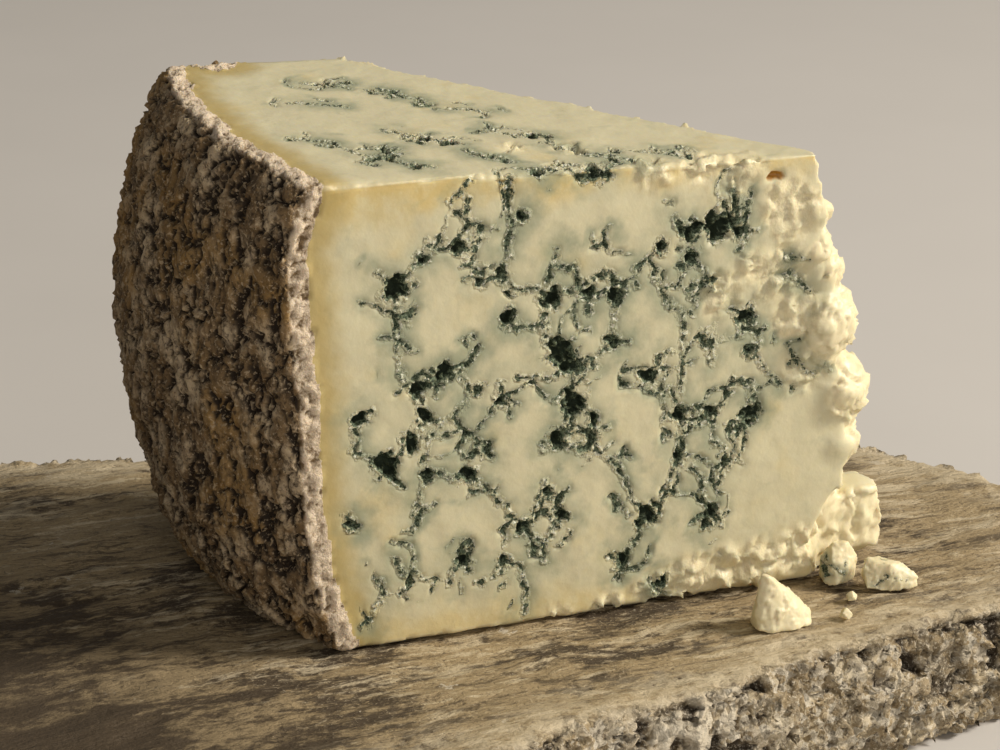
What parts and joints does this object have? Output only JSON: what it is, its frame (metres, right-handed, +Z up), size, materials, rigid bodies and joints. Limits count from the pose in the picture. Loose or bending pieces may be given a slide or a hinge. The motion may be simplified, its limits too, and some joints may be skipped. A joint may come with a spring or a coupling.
{
  "type": "blue cheese wedge on a stone board",
  "caption": "Tall wedge of blue-veined cheese with a rough natural rind and a crumbled tip, resting with fallen crumbs on a split stone board.",
  "frame": {"origin": "middle of the board's footprint, on its underside", "axes": "+X along the board's length from the rind end towards the wedge's tip, +Y from the front cut towards the back, +Z up"},
  "size_m": [0.3026, 0.1752, 0.1211],
  "materials": {
    "stone": "rough split stone, matte, grey brown with light broken edges",
    "cheese": "pale cream paste with blue green veins and a rough grey brown rind"
  },
  "bodies": {
    "root": {"stone_board": "stone", "cheese_wedge": "cheese", "sharp_crumb": "cheese", "long_crumb": "cheese", "round_crumb": "cheese", "small_crumb_left": "cheese", "small_crumb_right": "cheese"}
  },
  "joints": []
}
